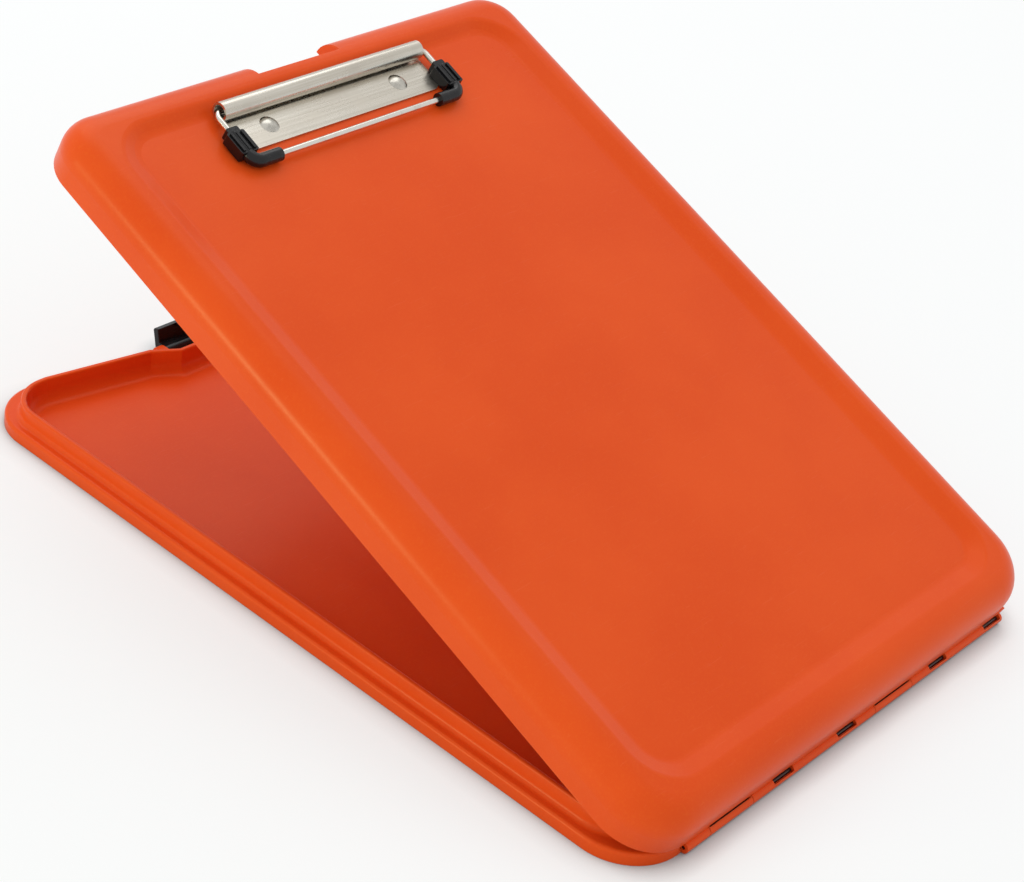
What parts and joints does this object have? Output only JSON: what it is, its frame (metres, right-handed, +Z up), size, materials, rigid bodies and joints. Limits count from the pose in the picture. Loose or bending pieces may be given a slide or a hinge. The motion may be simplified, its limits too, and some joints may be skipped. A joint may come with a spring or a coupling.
{
  "type": "storage clipboard box",
  "caption": "Shallow storage box with a hinged lid that is the writing board, a sprung wire paper clip at its head and a press-back latch.",
  "frame": {"origin": "centre of the tray's flat underside, on the surface that the box lies on", "axes": "+X along the hinge pin, +Y from the hinge edge to the latch edge, +Z up"},
  "size_m": [0.24, 0.339, 0.1412],
  "materials": {
    "orange_shell": "satin moulded",
    "black_latch": "semi-gloss",
    "black_grip": "soft satin",
    "nickel": "bright nickel plate",
    "nickel_wire": "bright nickel plate",
    "pin_steel": "drawn",
    "spring_steel": "drawn, oiled"
  },
  "bodies": {
    "base": {"tray": "orange_shell", "hinge_pin": "pin_steel", "latch_pin": "pin_steel"},
    "board": {"lid": "orange_shell", "clip_plate": "nickel", "clip_rivets": "nickel", "rivet_washers": "pin_steel"},
    "latch_bar": {"latch": "black_latch"},
    "bail": {"bail_wire": "nickel_wire", "left_grip": "black_grip", "right_grip": "black_grip", "left_spring": "spring_steel", "right_spring": "spring_steel"}
  },
  "joints": [
    {"name": "lid_hinge", "type": "hinge", "parent": "base", "child": "board", "pos_m": [0, -0.1672, 0.0022], "axis": [1, 0, 0], "range_deg": [-21.2, 69]},
    {"name": "latch_hinge", "type": "hinge", "parent": "base", "child": "latch_bar", "pos_m": [-0.004, 0.1568, 0.0034], "axis": [1, 0, 0], "range_deg": [-17, 15]},
    {"name": "bail_hinge", "type": "hinge", "parent": "board", "child": "bail", "pos_m": [-0.0026, 0.11677, 0.13755], "axis": [-1, 0, 0], "range_deg": [0, 95], "stiffness_Nm_per_rad": 0.1, "springref_deg": -80.21}
  ]
}
